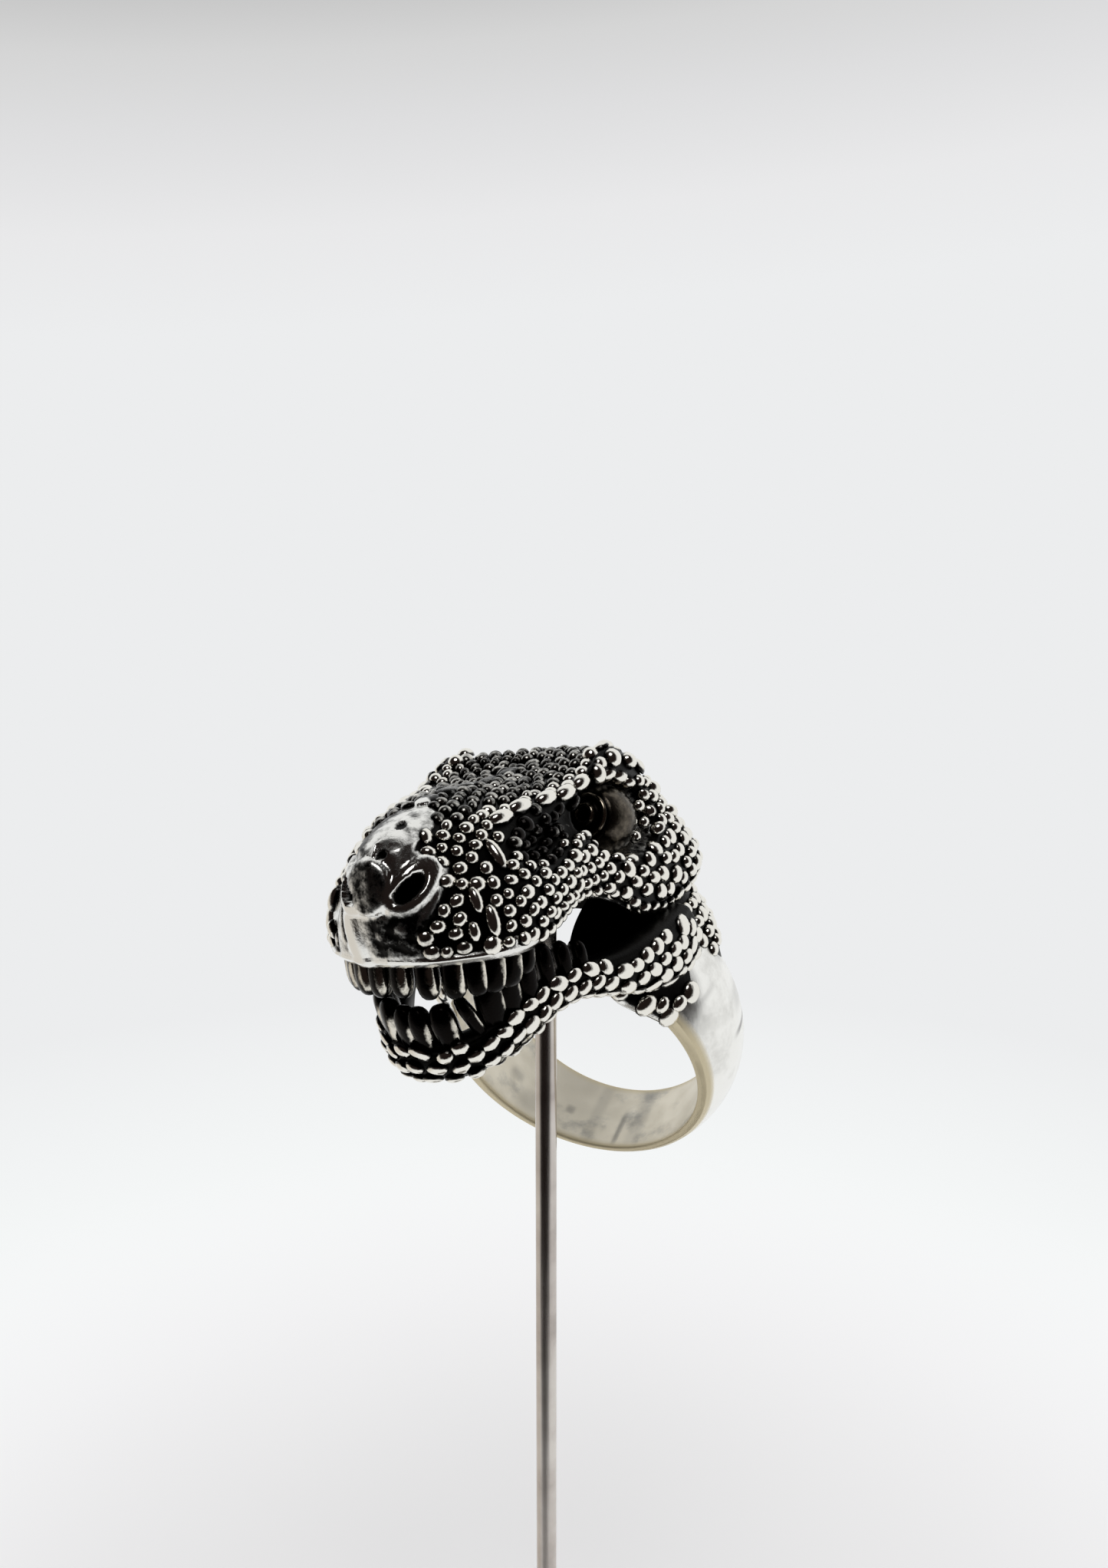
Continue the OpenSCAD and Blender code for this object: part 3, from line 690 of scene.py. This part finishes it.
back_face = hole_skin[:, -1:] + (shoulder_skin[:, :1] - hole_skin[:, -1:]) * quarters
ring_of_points = np.concatenate([shoulder_skin, front_face, hole_skin, back_face], 1)
polish = np.concatenate([np.zeros_like(shoulder_r), np.zeros((len(row), 3)) + [0.3, 0.7, 1.0],
                         np.ones_like(hole_r), np.full((len(row), 4), 0.1)], 1)
ends = [ring_of_points[k:k + 1].mean(1, keepdims=True) for k in (0, len(row) - 1)]
shoulders = close_ends("shoulders", ring_of_points, ends, polish)

# The slot in the strap, where the rod comes through into the mouth
bpy.ops.mesh.primitive_cube_add(size=1)
slot_cutter = bpy.context.object
for vertex in slot_cutter.data.vertices:
    vertex.co = ring_frame @ Vector((
        2 * SLOT_HALF * vertex.co.x, SLOT_FRONT if vertex.co.y < 0 else SLOT_BACK,
        FINGER_R - 1.5 if vertex.co.z < 0 else FINGER_R + SLOT_TOP))
bpy.ops.object.select_all(action="DESELECT")
shoulders.select_set(True)
bpy.context.view_layer.objects.active = shoulders
cut = shoulders.modifiers.new("slot", "BOOLEAN")
cut.object = slot_cutter
cut.solver = "EXACT"
bpy.ops.object.modifier_apply(modifier=cut.name)
bpy.data.objects.remove(slot_cutter)
shoulders.data.materials.clear()
shoulders.data.materials.append(black_silver)
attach(shoulders, "root")
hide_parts("ring")


# The scales: small round pearls of silver that stand close together on the blackened skin,
# each worn bright on top and black at its foot. They were set one by one in the wax.
CELL = 1.6
FREE_SHARE = 0.41
RELAX_TURNS = 12
RELAX_STEP = 0.35
PEARL_FOOT = -0.25
draw = random.Random(7)
solid_trees = {}
for piece in (band, upper_head, lower_jaw, shoulders):
    solid_trees[piece.name] = BVHTree.FromPolygons(
        [v.co for v in piece.data.vertices], [p.vertices for p in piece.data.polygons])
taken = {}


def free_place(p, reach):
    """Whether the point is at least its own and the other's half size away from every scale"""
    for cell in itertools.product(*(range(int(c // CELL) - 1, int(c // CELL) + 2) for c in p)):
        for x, y, z, r in taken.get(cell, ()):
            if (p[0] - x) ** 2 + (p[1] - y) ** 2 + (p[2] - z) ** 2 < (reach + r) ** 2:
                return False
    return True


def take_place(p, reach):
    taken.setdefault(tuple(int(c // CELL) for c in p), []).append((*p, reach))


def buried(p, own):
    """Whether the point lies inside another solid of the casting"""
    at = ring_frame @ Vector(p)
    for name, solid in solid_trees.items():
        if name != own:
            spot, normal, _, distance = solid.find_nearest(at)
            if distance < 0.004 and (at - spot).dot(normal) < 0.00005:
                return True
    return False


def pack_scales(own, skin, out, allowed, pitch, bright, stretch=(1.0, 1.0), height=0.46):
    """Chooses places for scales line by line, each as close to its neighbours as its size allows,
    and then lets them push each other apart until they stand evenly. Each is a point, the way
    out, the way along, its two half sizes, its height and its brightness."""
    lines, across = allowed.shape
    size = draw.uniform(0.88, 1.1)
    spots = []
    for i in range(lines):
        for j in range(across):
            if not allowed[i, j]:
                continue
            p = tuple(float(c) for c in skin[i, j])
            reach = FREE_SHARE * float(pitch[i, j]) * size
            if free_place(p, reach) and not buried(p, own):
                take_place(p, reach)
                spots.append((i, j))
                size = draw.uniform(0.88, 1.1)
    where = np.argwhere(allowed)
    ground = skin[allowed]
    tree = KDTree(len(ground))
    for k, p in enumerate(ground):
        tree.insert(p, k)
    tree.balance()
    here = np.array([skin[i, j] for i, j in spots])
    wanted = np.array([pitch[i, j] for i, j in spots])
    spots = np.array(spots)
    for _ in range(RELAX_TURNS):
        apart = here[:, None] - here[None]
        distance = np.linalg.norm(apart, axis=-1) + np.eye(len(here)) * 99
        push = np.clip(wanted[:, None] * 1.06 - distance, 0, None) / distance
        moved = here + RELAX_STEP * (apart * push[..., None]).sum(1)
        for k, p in enumerate(moved):
            spots[k] = where[tree.find(p)[1]]
            here[k] = skin[tuple(spots[k])]
    apart = np.linalg.norm(here[:, None] - here[None], axis=-1) + np.eye(len(here)) * 99
    nearest = np.sort(apart, 1)[:, :3].mean(1)
    chosen = []
    for (i, j), p, gap_to_next in zip(spots, here, nearest):
        ahead = skin[i, min(j + 1, across - 1)] - skin[i, max(j - 1, 0)]
        wide = 0.5 * min(gap_to_next, 1.2 * pitch[i, j]) * draw.uniform(0.92, 1.06)
        ahead = ahead + np.linalg.norm(ahead) * draw.uniform(-0.8, 0.8) * np.cross(out[i, j], unit(ahead))
        chosen.append((tuple(p), out[i, j], ahead, wide * stretch[0] * draw.uniform(0.92, 1.2),
                       wide * stretch[1] * draw.uniform(0.82, 1.02), height * draw.uniform(0.8, 1.2),
                       float(bright[i, j]) * draw.uniform(0.85, 1.05)))
    return chosen


def new_sphere(name, segments, rings, radius=1):
    bpy.ops.object.select_all(action="DESELECT")
    bpy.ops.mesh.primitive_uv_sphere_add(segments=segments, ring_count=rings, radius=radius)
    sphere = bpy.context.object
    sphere.name = sphere.data.name = name
    sphere.data.attributes.new("rub", "FLOAT", "POINT")
    return sphere


def edit_chosen(piece, parts, wanted):
    """Opens edit mode with only the wanted vertices, edges or polygons selected"""
    bpy.ops.object.mode_set(mode="EDIT")
    bpy.ops.mesh.select_all(action="DESELECT")
    bpy.ops.object.mode_set(mode="OBJECT")
    for part in getattr(piece.data, parts):
        part.select = wanted(part)
    bpy.ops.object.mode_set(mode="EDIT")


def copy_to(place, template):
    """Another one of the template's kind at a place in the stand's frame"""
    copy = template.copy()
    copy.data = template.data.copy()
    copy.matrix_world = place
    bpy.context.collection.objects.link(copy)
    return copy


def join_copies(name, copies, mend_normals=False):
    """Joins the copies into one piece of the ring"""
    bpy.ops.object.select_all(action="DESELECT")
    for copy in copies:
        copy.select_set(True)
    bpy.context.view_layer.objects.active = copies[0]
    bpy.ops.object.join()
    piece = bpy.context.object
    piece.name = piece.data.name = name
    bpy.ops.object.transform_apply(location=True, rotation=True, scale=True)
    if mend_normals:
        bpy.ops.object.mode_set(mode="EDIT")
        bpy.ops.mesh.select_all(action="SELECT")
        bpy.ops.mesh.normals_make_consistent(inside=False)
        bpy.ops.object.mode_set(mode="OBJECT")
    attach(piece, "root")
    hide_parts("ring")


pearl = new_sphere("pearl", 12, 10)
edit_chosen(pearl, "vertices", lambda vertex: vertex.co.z < PEARL_FOOT)
bpy.ops.mesh.delete(type="VERT")
bpy.ops.object.mode_set(mode="OBJECT")
bpy.ops.object.shade_smooth()
for vertex, wear_and_highlight in zip(pearl.data.vertices, pearl.data.attributes["rub"].data):
    wear_and_highlight.value = float(smooth_step(0.16, 0.56, vertex.co.z))
pearl.data.materials.append(oxidised("sterling_silver_scales", "#F0EDE5", "#1B1918", 0.17))


def set_pearls(name, chosen):
    """Copies the pearl to each place and joins the copies into one piece"""
    wear_and_highlight = np.array([r.value for r in pearl.data.attributes["rub"].data])
    copies = []
    for p, out, ahead, half_long, half_wide, height, bright in chosen:
        out, ahead = Vector(out).normalized(), Vector(ahead)
        ahead = (ahead - out * ahead.dot(out)).normalized()
        turned = Matrix((ahead * half_long, out.cross(ahead) * half_wide, out * height)).transposed().to_4x4()
        copy = copy_to(ring_frame @ Matrix.Translation(p) @ turned, pearl)
        copy.data.attributes["rub"].data.foreach_set("value", (wear_and_highlight * bright).astype(np.float32))
        copies.append(copy)
    join_copies(name, copies)


def grid_out(skin, roughly):
    """The way out of a bent grid at each of its points, on the side that it is on roughly"""
    out = unit(np.cross(np.gradient(skin, axis=1), np.gradient(skin, axis=0)))
    return out if (out * roughly).sum() > 0 else -out


# Large oval scales along the brow and round the back of the socket: u, v, half length, half width
BROW_SCALES = [
    (5.0, 0.98, 0.85, 0.55), (5.95, 1.02, 0.85, 0.52), (6.85, 1.0, 0.8, 0.52), (7.6, 0.99, 0.75, 0.55),
    (8.3, 0.98, 0.7, 0.55), (9.0, 0.96, 0.62, 0.78), (9.85, 0.97, 0.7, 0.72), (9.5, 1.12, 0.62, 0.6),
    (10.3, 1.1, 0.7, 0.62), (10.75, 0.96, 0.66, 0.6), (11.5, 1.02, 0.75, 0.58), (12.2, 0.98, 0.7, 0.52),
    (12.6, 0.87, 0.66, 0.48)]
# Long upright scales on the cheek: u, v, half length, half width
LONG_SCALES = [(4.0, 0.8, 1.2, 0.5), (2.8, 0.56, 0.95, 0.45), (3.05, 0.38, 1.1, 0.5), (2.5, 0.33, 0.7, 0.45)]
# Small scales on the back wall of the socket: x, y, z and radius (head frame)
SOCKET_SCALES = [
    (7.9, -4.0, 18.6, 0.5), (7.6, -4.9, 17.6, 0.48), (8.0, -3.7, 17.3, 0.5), (7.8, -5.0, 16.5, 0.5)]
# The place v above which a scale belongs to the brow, and leans out with it
BROW_V = 0.85

head_normal = grid_out(head_skin, to_ring(out * np.stack([SIDE, 0 * SIDE + 1, 0 * SIDE + 1], -1)))
chosen = []
for side in (1, -1):
    for u, v, half_long, half_wide in BROW_SCALES + LONG_SCALES:
        i = np.abs(v_line - v).argmin()
        j = np.abs(one_side - u).argmin()
        j = j if side > 0 else 2 * COLUMNS - j
        p = tuple(float(c) for c in head_skin[i, j])
        take_place(p, (half_long + half_wide) / 2)
        lean = unit(head_normal[i, j] + 0.6 * to_ring(np.array([side * 0.7, -0.2, 0.5])))
        if v > BROW_V:
            ahead = head_skin[i, j + 1] - head_skin[i, j - 1]
            longer = 1.4 if u < 8.5 else 1.15
            chosen.append((p, lean, ahead, longer * half_long, 1.08 * half_wide, 0.7, 1.0))
        else:
            upward = head_skin[i + 1, j] - head_skin[i - 1, j]
            chosen.append((p, head_normal[i, j], upward, half_long, half_wide, 0.5, 0.95))
    for x, y, z, r in SOCKET_SCALES:
        p = tuple(float(c) for c in to_ring(np.array([x * side, y, z])))
        lean, upward = to_ring(np.array([[0.75 * side, -0.6, 0.15], [0, 0.3, 1.0]]))
        chosen.append((p, lean, upward, r, r, r, 0.75))

SOCKET_FRONT = -13.2
in_socket = (pressed > 0.3) & (Y > SOCKET_FRONT)
in_hollow = (pressed > 0.3) & (Y <= SOCKET_FRONT)
allowed = (scaly > 0.85) & (plates < 0.15) & ~in_socket & (V < 1.97) & (lift - brow_peak < 0.15)
allowed &= ABOVE_LIP > 0.95 - 0.55 * smooth_step(4.2, 4.9, U)
pitch = 1.17 + 0.45 * smooth_step(7.8, 9.6, U) * smooth_step(0.8, 0.4, V)
pitch = pitch * (1 + 0.15 * np.sin(2.3 * S + 1.1 * Z) * np.sin(1.9 * Z - 0.8 * S + 1))
under_brow = smooth_step(4.4, 5.0, U) * smooth_step(8.6, 8.0, U)
under_brow = under_brow * smooth_step(0.68, 0.76, V) * smooth_step(0.99, 0.95, V)
by_the_snout = smooth_step(2.9, 2.3, U) * smooth_step(0.5, 0.35, V)
bright = 1.0 - 0.8 * in_hollow - 0.64 * smooth_step(1.05, 1.25, V) - 0.8 * under_brow * ~in_hollow
bright = bright - 0.4 * by_the_snout
chosen += pack_scales("upper_head", head_skin, head_normal, allowed, pitch, bright)
set_pearls("head_scales", chosen)

jaw_normal = grid_out(jaw_skin, outward * np.cos(JQ)[..., None])
jaw_normal = unit(jaw_normal - [0, 0, 0.4] * smooth_step(5, 4, np.abs(JU))[..., None])
allowed = (jaw_scaly > 0.6) & (np.abs(JU) < 11.8)
pitch = 1.28 + 0.18 * smooth_step(7.6, 9.2, np.abs(JU))
chosen = pack_scales("lower_jaw", jaw_skin.swapaxes(0, 1), jaw_normal.swapaxes(0, 1), allowed.T, pitch.T,
                     np.ones_like(pitch.T), (1.16, 1.02), 0.38)
set_pearls("jaw_scales", chosen)

shoulder_normal = grid_out(shoulder_skin, np.array([0, 0, 1]))
angle_here = np.degrees(turn)
allowed = (np.abs(angle_here - 90) < 60.5) & (np.abs(ST) < 0.985)
allowed &= (np.abs(angle_here - 90) > 33) | (shoulder_y > 2)
chosen = pack_scales("shoulders", shoulder_skin, shoulder_normal, allowed, 0 * turn + 1.36, 0 * turn + 1)
set_pearls("shoulder_scales", chosen)
bpy.data.objects.remove(pearl)


# The eyes: a ball at the bottom of each socket, with the pupil and the iris engraved as rings.
# They were cast with the head and stay dark, because the polishing mop can't reach in.
EYE = np.array([5.6, -5.9, 18.0])
EYE_R = 2.65
PUPIL_WAY = Vector((-0.05, -0.94, 0.36))
for side, name in ((1, "eye_left"), (-1, "eye_right")):
    ball = new_sphere(name, 64, 60, EYE_R)
    toward = Vector((PUPIL_WAY.x * side, PUPIL_WAY.y, PUPIL_WAY.z)).normalized().to_track_quat("Z", "Y")
    for vertex, wear_and_highlight in zip(ball.data.vertices, ball.data.attributes["rub"].data):
        theta = math.degrees(vertex.co.angle(Vector((0, 0, 1)), 0))
        pupil = float(smooth_step(12, 8, theta))
        raised = math.exp(-((theta - 15) / 2.5) ** 2) + 1.2 * math.exp(-((theta - 35) / 2.2) ** 2)
        sunk = math.exp(-((theta - 25) / 5) ** 2) + 0.7 * math.exp(-((theta - 40) / 2.5) ** 2)
        high = 0.14 * raised - 0.12 * sunk - 0.3 * pupil
        wear_and_highlight.value = 0.33 + 0.45 * raised - 0.3 * sunk - 0.4 * pupil
        in_head = toward @ (vertex.co * (1 + high / EYE_R))
        vertex.co = Vector(to_ring(np.array(in_head) + EYE * [side, 1, 1]))
    ball.data.transform(ring_frame)
    bpy.ops.object.shade_smooth()
    ball.data.materials.append(oxidised("eye_silver_" + name[4:], "#B5A998", "#0D0B0A", 0.26, 0.06))
    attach(ball, "root")
    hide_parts("ring")


# The teeth: blunt pegs, cast with the jaws. Each has a bright patch on its outer side, partly
# rubbed wear and partly a painted highlight, and its root and sides keep the black. Places count
# the rows of the head and of the jaw, the near side first.
# Columns: place, share of the usual width, height above the usual, lean to the back in degrees
UPPER_TEETH = [
    (0.8, 0.95, 0.1, 0), (1.72, 1.0, 0.15, 2), (2.5, 0.95, 0.1, -3), (3.15, 1.1, 0.05, 4),
    (3.8, 1.12, -0.1, 8), (4.45, 0.85, -0.5, 4), (-0.12, 0.9, 0, 0), (-0.85, 0.9, 0.1, 3),
    (-1.6, 0.95, 0.1, 0), (-2.3, 0.95, 0, 0), (-3.0, 1.0, 0, 0), (-3.75, 1.0, -0.1, 0),
    (-4.5, 0.8, -0.4, 0)]
LOWER_TEETH = [
    (-0.55, 0.95, -0.1, 0), (0.25, 0.95, -0.1, 0), (1.15, 1.05, -0.1, 2), (2.35, 0.62, 0, 14),
    (3.45, 1.25, 0.1, -4), (4.45, 1.1, 0.2, -6), (5.35, 0.9, 0.1, -8), (6.15, 0.75, 0, -10),
    (6.85, 0.7, -0.1, -8), (7.5, 0.6, -0.2, -5), (-1.5, 1.05, 0, 0), (-2.6, 1.0, 0, 0),
    (-3.7, 1.05, 0, 0), (-4.8, 1.1, 0.1, 0), (-5.75, 0.9, 0, 0), (-6.6, 0.8, -0.1, 0),
    (-7.4, 0.7, -0.2, 0)]
TOOTH_W = 1.6
TOOTH_DEEP = 1.5
BLUNTNESS = 2.6

peg = new_sphere("peg", 20, 14)
for vertex in peg.data.vertices:
    x, y, z = vertex.co
    blunt = sum(abs(c) ** BLUNTNESS for c in vertex.co) ** (-1 / BLUNTNESS)
    vertex.co = (x * blunt * (1 - 0.12 * z), y * blunt, z * blunt)
bpy.ops.object.shade_smooth()
peg.data.materials.append(oxidised("tooth_silver", "#E0DBCF", "#100E0D", 0.22))


def rub_and_highlight_peg(most, edge, at_z):
    """Makes the outer side of the peg bright behind an edge, partly as rubbed wear and partly as a painted
    highlight, with the patch's middle at a height
    """
    for vertex, wear_and_highlight in zip(peg.data.vertices, peg.data.attributes["rub"].data):
        x, y, z = vertex.co
        # The bright patch sits to one side and low on each tooth: partly wear, partly a painted highlight
        highlight_patch = smooth_step(edge, edge + 0.25, x - 0.6 * y) * smooth_step(0.8, 0.35, abs(z - at_z))
        wear_and_highlight.value = float(0.04 + most * highlight_patch)


places = []
for u, size, taller, lean in UPPER_TEETH:
    side = 1 if u > 0 else -1
    p = head_point(np.array(abs(u)), np.array(0.0)) * [side, 1, 1]
    way = head_point(np.array(abs(u) + 0.1), np.array(0.0)) * [side, 1, 1] - p
    facing = math.atan2(way[1] * side, way[0] * side)
    p = p + np.array([-math.sin(facing), math.cos(facing), 0]) * 1.15 - [0, 0, 0.55]
    places.append(
        Matrix.Rotation(math.radians(-GAPE), 4, "X") @ Matrix.Translation(p) @ Matrix.Rotation(facing, 4, "Z")
        @ Matrix.Rotation(math.radians(lean + draw.uniform(-3, 3)), 4, "Y")
        @ Matrix.Diagonal((TOOTH_W / 2 * size, TOOTH_DEEP / 2, 1.75 + taller, 1)))
rub_and_highlight_peg(0.66, 0.78, -0.25)
join_copies("upper_teeth", [copy_to(ring_frame @ place, peg) for place in places], mend_normals=True)

places = []
for u, size, taller, lean in LOWER_TEETH:
    row = jaw_at(np.array(u))
    way = jaw_at(np.array(u + 0.1)) - row
    facing = math.atan2(way[1], way[0])
    short = 1 - 0.3 * float(smooth_step(5.6, 7.6, abs(u)))
    places.append(
        Matrix.Translation((row[0], row[1], row[3] + 0.85 * short + 0.5 * taller))
        @ Matrix.Rotation(facing, 4, "Z") @ Matrix.Rotation(math.radians(draw.uniform(-3, 3) - lean), 4, "Y")
        @ Matrix.Diagonal((TOOTH_W / 2 * size, TOOTH_DEEP / 2, -1.95 * short - 0.5 * taller, 1)))
rub_and_highlight_peg(0.62, 0.95, 0.1)
join_copies("lower_teeth", [copy_to(ring_frame @ place, peg) for place in places], mend_normals=True)
bpy.data.objects.remove(peg)


# The rod: thin drawn steel wire, cut and rounded at its top end, which stands in a drilled
# hole of the base and carries the ring by the roof of its mouth.
def upright_bar(name, low, high, sides, rounding, segments):
    """A round bar on the rod's axis that fills the box from low to high, with a rounded top edge"""
    bpy.ops.object.select_all(action="DESELECT")
    bpy.ops.mesh.primitive_cylinder_add(
        vertices=sides, radius=(high.x - low.x) / 2, depth=high.z - low.z,
        location=(0, 0, (low.z + high.z) / 2))
    bar = bpy.context.object
    bar.name = bar.data.name = name
    bpy.ops.object.transform_apply(location=True, rotation=True, scale=True)
    spots = bar.data.vertices
    edit_chosen(bar, "edges", lambda edge: all(spots[v].co.z > high.z - 1e-5 for v in edge.vertices))
    bpy.ops.mesh.bevel(offset=rounding, segments=segments)
    bpy.ops.object.mode_set(mode="OBJECT")
    return bar


rod_low, rod_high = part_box("stand_rod")
ROD_R = (rod_high.x - rod_low.x) / 2
rod = upright_bar("rod", rod_low, rod_high, 48, ROD_R * 0.6, 5)
bpy.ops.object.shade_smooth_by_angle(angle=math.radians(35))

drawn, tree, shader, in_mm = new_metal("steel_wire_drawn")
pulled = add_node(tree, "Mapping", {"Vector": in_mm, "Scale": (6, 6, 0.12)}).outputs[0]
draw_lines = noise(tree, pulled, 1.0, 6, 0.6)
set_inputs(tree, shader, {
    "Base Color": colour_ramp(tree, noise(tree, in_mm, 0.18, 4), [
        (0.35, "#D8D2CC"), (0.55, "#C4BCB6"), (0.75, "#9A918B")]),
    "Metallic": 1,
    "Roughness": remap(tree, draw_lines, to_low=0.14, to_high=0.34),
    "Normal": add_bump(tree, draw_lines, 0.2, 0.00005)})
rod.data.materials.append(drawn)
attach(rod, "root")
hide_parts("stand_rod")


# The base: a plain steel disc, turned on a lathe, with a broken edge, a groove inside it and
# a shallow seat sunk round the rod. The steps go in from the edge: width and rise of each.
TOP_STEPS = [
    (0.0012, 0), (0.0002, -0.0002), (0.0006, 0), (0.0002, 0.0002), (0.0125, 0), (0.0003, -0.0002)]
disc = upright_bar("turned_base", *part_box("stand_base"), 160, 0.0008, 4)
edit_chosen(disc, "polygons", lambda face: face.normal.z > 0.99)
for width, rise in TOP_STEPS:
    bpy.ops.mesh.inset(thickness=width, depth=rise)
bpy.ops.object.mode_set(mode="OBJECT")
bpy.ops.object.shade_smooth_by_angle(angle=math.radians(25))

turned, tree, shader, in_mm = new_metal("steel_turned_satin")
flat = add_node(tree, "VectorMath", {0: in_mm, 1: (1, 1, 0)}, operation="MULTIPLY").outputs[0]
from_axis = add_node(tree, "VectorMath", {0: flat}, operation="LENGTH").outputs["Value"]
tool_marks = reckon(tree, "SINE", reckon(tree, "MULTIPLY", from_axis, 20.0))
wear = noise(tree, in_mm, 0.2, 5)
set_inputs(tree, shader, {
    "Base Color": colour_ramp(tree, wear, [(0.35, "#CFCDC9"), (0.7, "#B4B1AC")]),
    "Metallic": 1,
    "Roughness": remap(tree, wear, to_low=0.26, to_high=0.42),
    "Normal": add_bump(tree, tool_marks, 0.15, 0.00003)})
disc.data.materials.append(turned)
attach(disc, "root")
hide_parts("stand_base")
